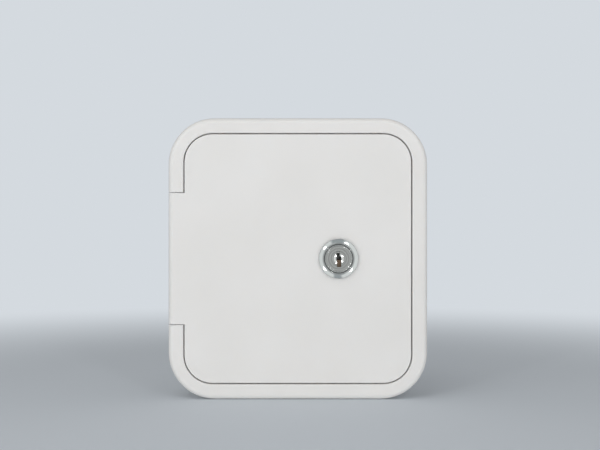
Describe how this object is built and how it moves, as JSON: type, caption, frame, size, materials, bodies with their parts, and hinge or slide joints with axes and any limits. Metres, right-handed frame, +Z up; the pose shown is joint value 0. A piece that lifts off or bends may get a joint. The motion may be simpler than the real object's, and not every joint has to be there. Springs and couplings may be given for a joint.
{
  "type": "recreational vehicle water inlet hatch",
  "caption": "Lockable white wall hatch with a side-hinged door over a recessed pan that holds a screw-capped water filler and a screened air vent.",
  "frame": {"origin": "centre of the mounting screws' pattern, on the wall's outer surface", "axes": "+X to the right seen from in front, +Y into the wall along the screws, +Z up"},
  "size_m": [0.165, 0.1035, 0.179],
  "materials": {
    "white_plastic": "satin moulded, white",
    "screen_plastic": "moulded, off-white",
    "black_plastic": "moulded, black",
    "strap_plastic": "soft, black",
    "seal_rubber": "soft, black",
    "butyl_tape": "tacky, grey",
    "lock_chrome": "satin chrome",
    "plug_metal": "turned rings, satin nickel",
    "wafer_brass": "stamped",
    "zinc_steel": "bright zinc",
    "stainless": "bright"
  },
  "bodies": {
    "hatch_frame": {"housing": "white_plastic", "sealing_tape": "butyl_tape", "mounting_screws": "stainless", "hinge_pin_upper": "stainless", "hinge_pin_lower": "stainless", "filler_neck": "white_plastic", "vent_neck": "white_plastic", "vent_screen": "screen_plastic", "strap_screw": "stainless", "keeper": "white_plastic", "keeper_rivets": "stainless"},
    "hatch_door": {"door": "white_plastic", "door_seal": "seal_rubber", "lock_body": "lock_chrome", "lock_gasket": "seal_rubber", "lock_washer": "zinc_steel", "lock_nut": "zinc_steel"},
    "lock_core": {"lock_plug": "plug_metal", "tumbler_wafers": "wafer_brass", "stop_washer": "zinc_steel", "cam": "zinc_steel", "cam_washer": "zinc_steel", "cam_screw": "zinc_steel"},
    "cap_tether": {"cap_strap": "strap_plastic"},
    "filler_cap": {"fill_cap": "black_plastic", "cap_gasket": "seal_rubber", "strap_rivet": "black_plastic"}
  },
  "joints": [
    {"name": "door_hinge", "type": "hinge", "parent": "hatch_frame", "child": "hatch_door", "pos_m": [-0.079, -0.0075, 0], "axis": [0, 0, -1], "range_deg": [0, 165]},
    {"name": "lock_turn", "type": "hinge", "parent": "hatch_door", "child": "lock_core", "pos_m": [0.0259, 0, 0], "axis": [0, -1, 0], "range_deg": [0, 90]},
    {"name": "cap_lift", "type": "slide", "parent": "hatch_frame", "child": "cap_tether", "axis": [0, -1, 0], "range_m": [0, 0.01], "deforming": ["cap_strap"]},
    {"name": "cap_turn", "type": "hinge", "parent": "cap_tether", "child": "filler_cap", "pos_m": [-0.026, 0, -0.016], "axis": [0, -1, 0], "range_deg": [0, 720]}
  ],
  "couplings": [
    {"joint": "cap_lift", "follows": "cap_turn", "m_per_rad": 0.000795}
  ]
}
